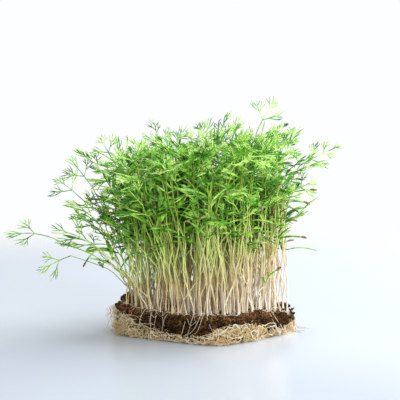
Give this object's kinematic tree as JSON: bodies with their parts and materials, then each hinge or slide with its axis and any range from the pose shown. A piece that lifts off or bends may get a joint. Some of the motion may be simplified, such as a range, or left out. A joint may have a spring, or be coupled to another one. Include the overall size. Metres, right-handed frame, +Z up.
{
  "type": "mat of dill microgreens",
  "caption": "Square mat of living dill microgreens lifted out of its punnet: dark soil slab on a curly root mat, with pale stems that carry narrow seed leaves and cut green fronds.",
  "frame": {"origin": "on the flat underside of the root mat, under the middle of the mat", "axes": "+Z up along the stems; -Y towards the viewer of the picture; +X to the viewer's right; the mat is turned 36 degrees clockwise from these axes, seen from above"},
  "size_m": [0.2016, 0.1598, 0.1417],
  "materials": {
    "soil": "matte, damp and fibrous",
    "straw": "satin, cream to straw",
    "green": "soft satin leaf"
  },
  "bodies": {
    "root": {"roots_and_stems": "straw", "shoot_01": "green", "shoot_02": "green", "shoot_03": "green", "shoot_04": "green", "shoot_05": "green", "shoot_06": "green", "shoot_07": "green", "shoot_08": "green", "shoot_09": "green", "shoot_10": "green", "shoot_11": "green", "shoot_12": "green", "shoot_13": "green", "shoot_14": "green", "shoot_15": "green", "shoot_16": "green", "shoot_17": "green", "shoot_18": "green", "shoot_19": "green", "shoot_20": "green", "shoot_21": "green", "shoot_22": "green", "shoot_23": "green", "shoot_24": "green", "shoot_25": "green", "shoot_26": "green", "shoot_27": "green", "shoot_28": "green", "shoot_29": "green", "shoot_30": "green", "shoot_31": "green", "shoot_32": "green", "shoot_33": "green", "shoot_34": "green", "shoot_35": "green", "shoot_36": "green", "shoot_37": "green", "shoot_38": "green", "shoot_39": "green", "shoot_40": "green", "shoot_41": "green", "shoot_42": "green", "shoot_43": "green", "shoot_44": "green", "shoot_45": "green", "shoot_46": "green", "shoot_47": "green", "shoot_48": "green", "soil_mat": "soil"}
  },
  "joints": []
}
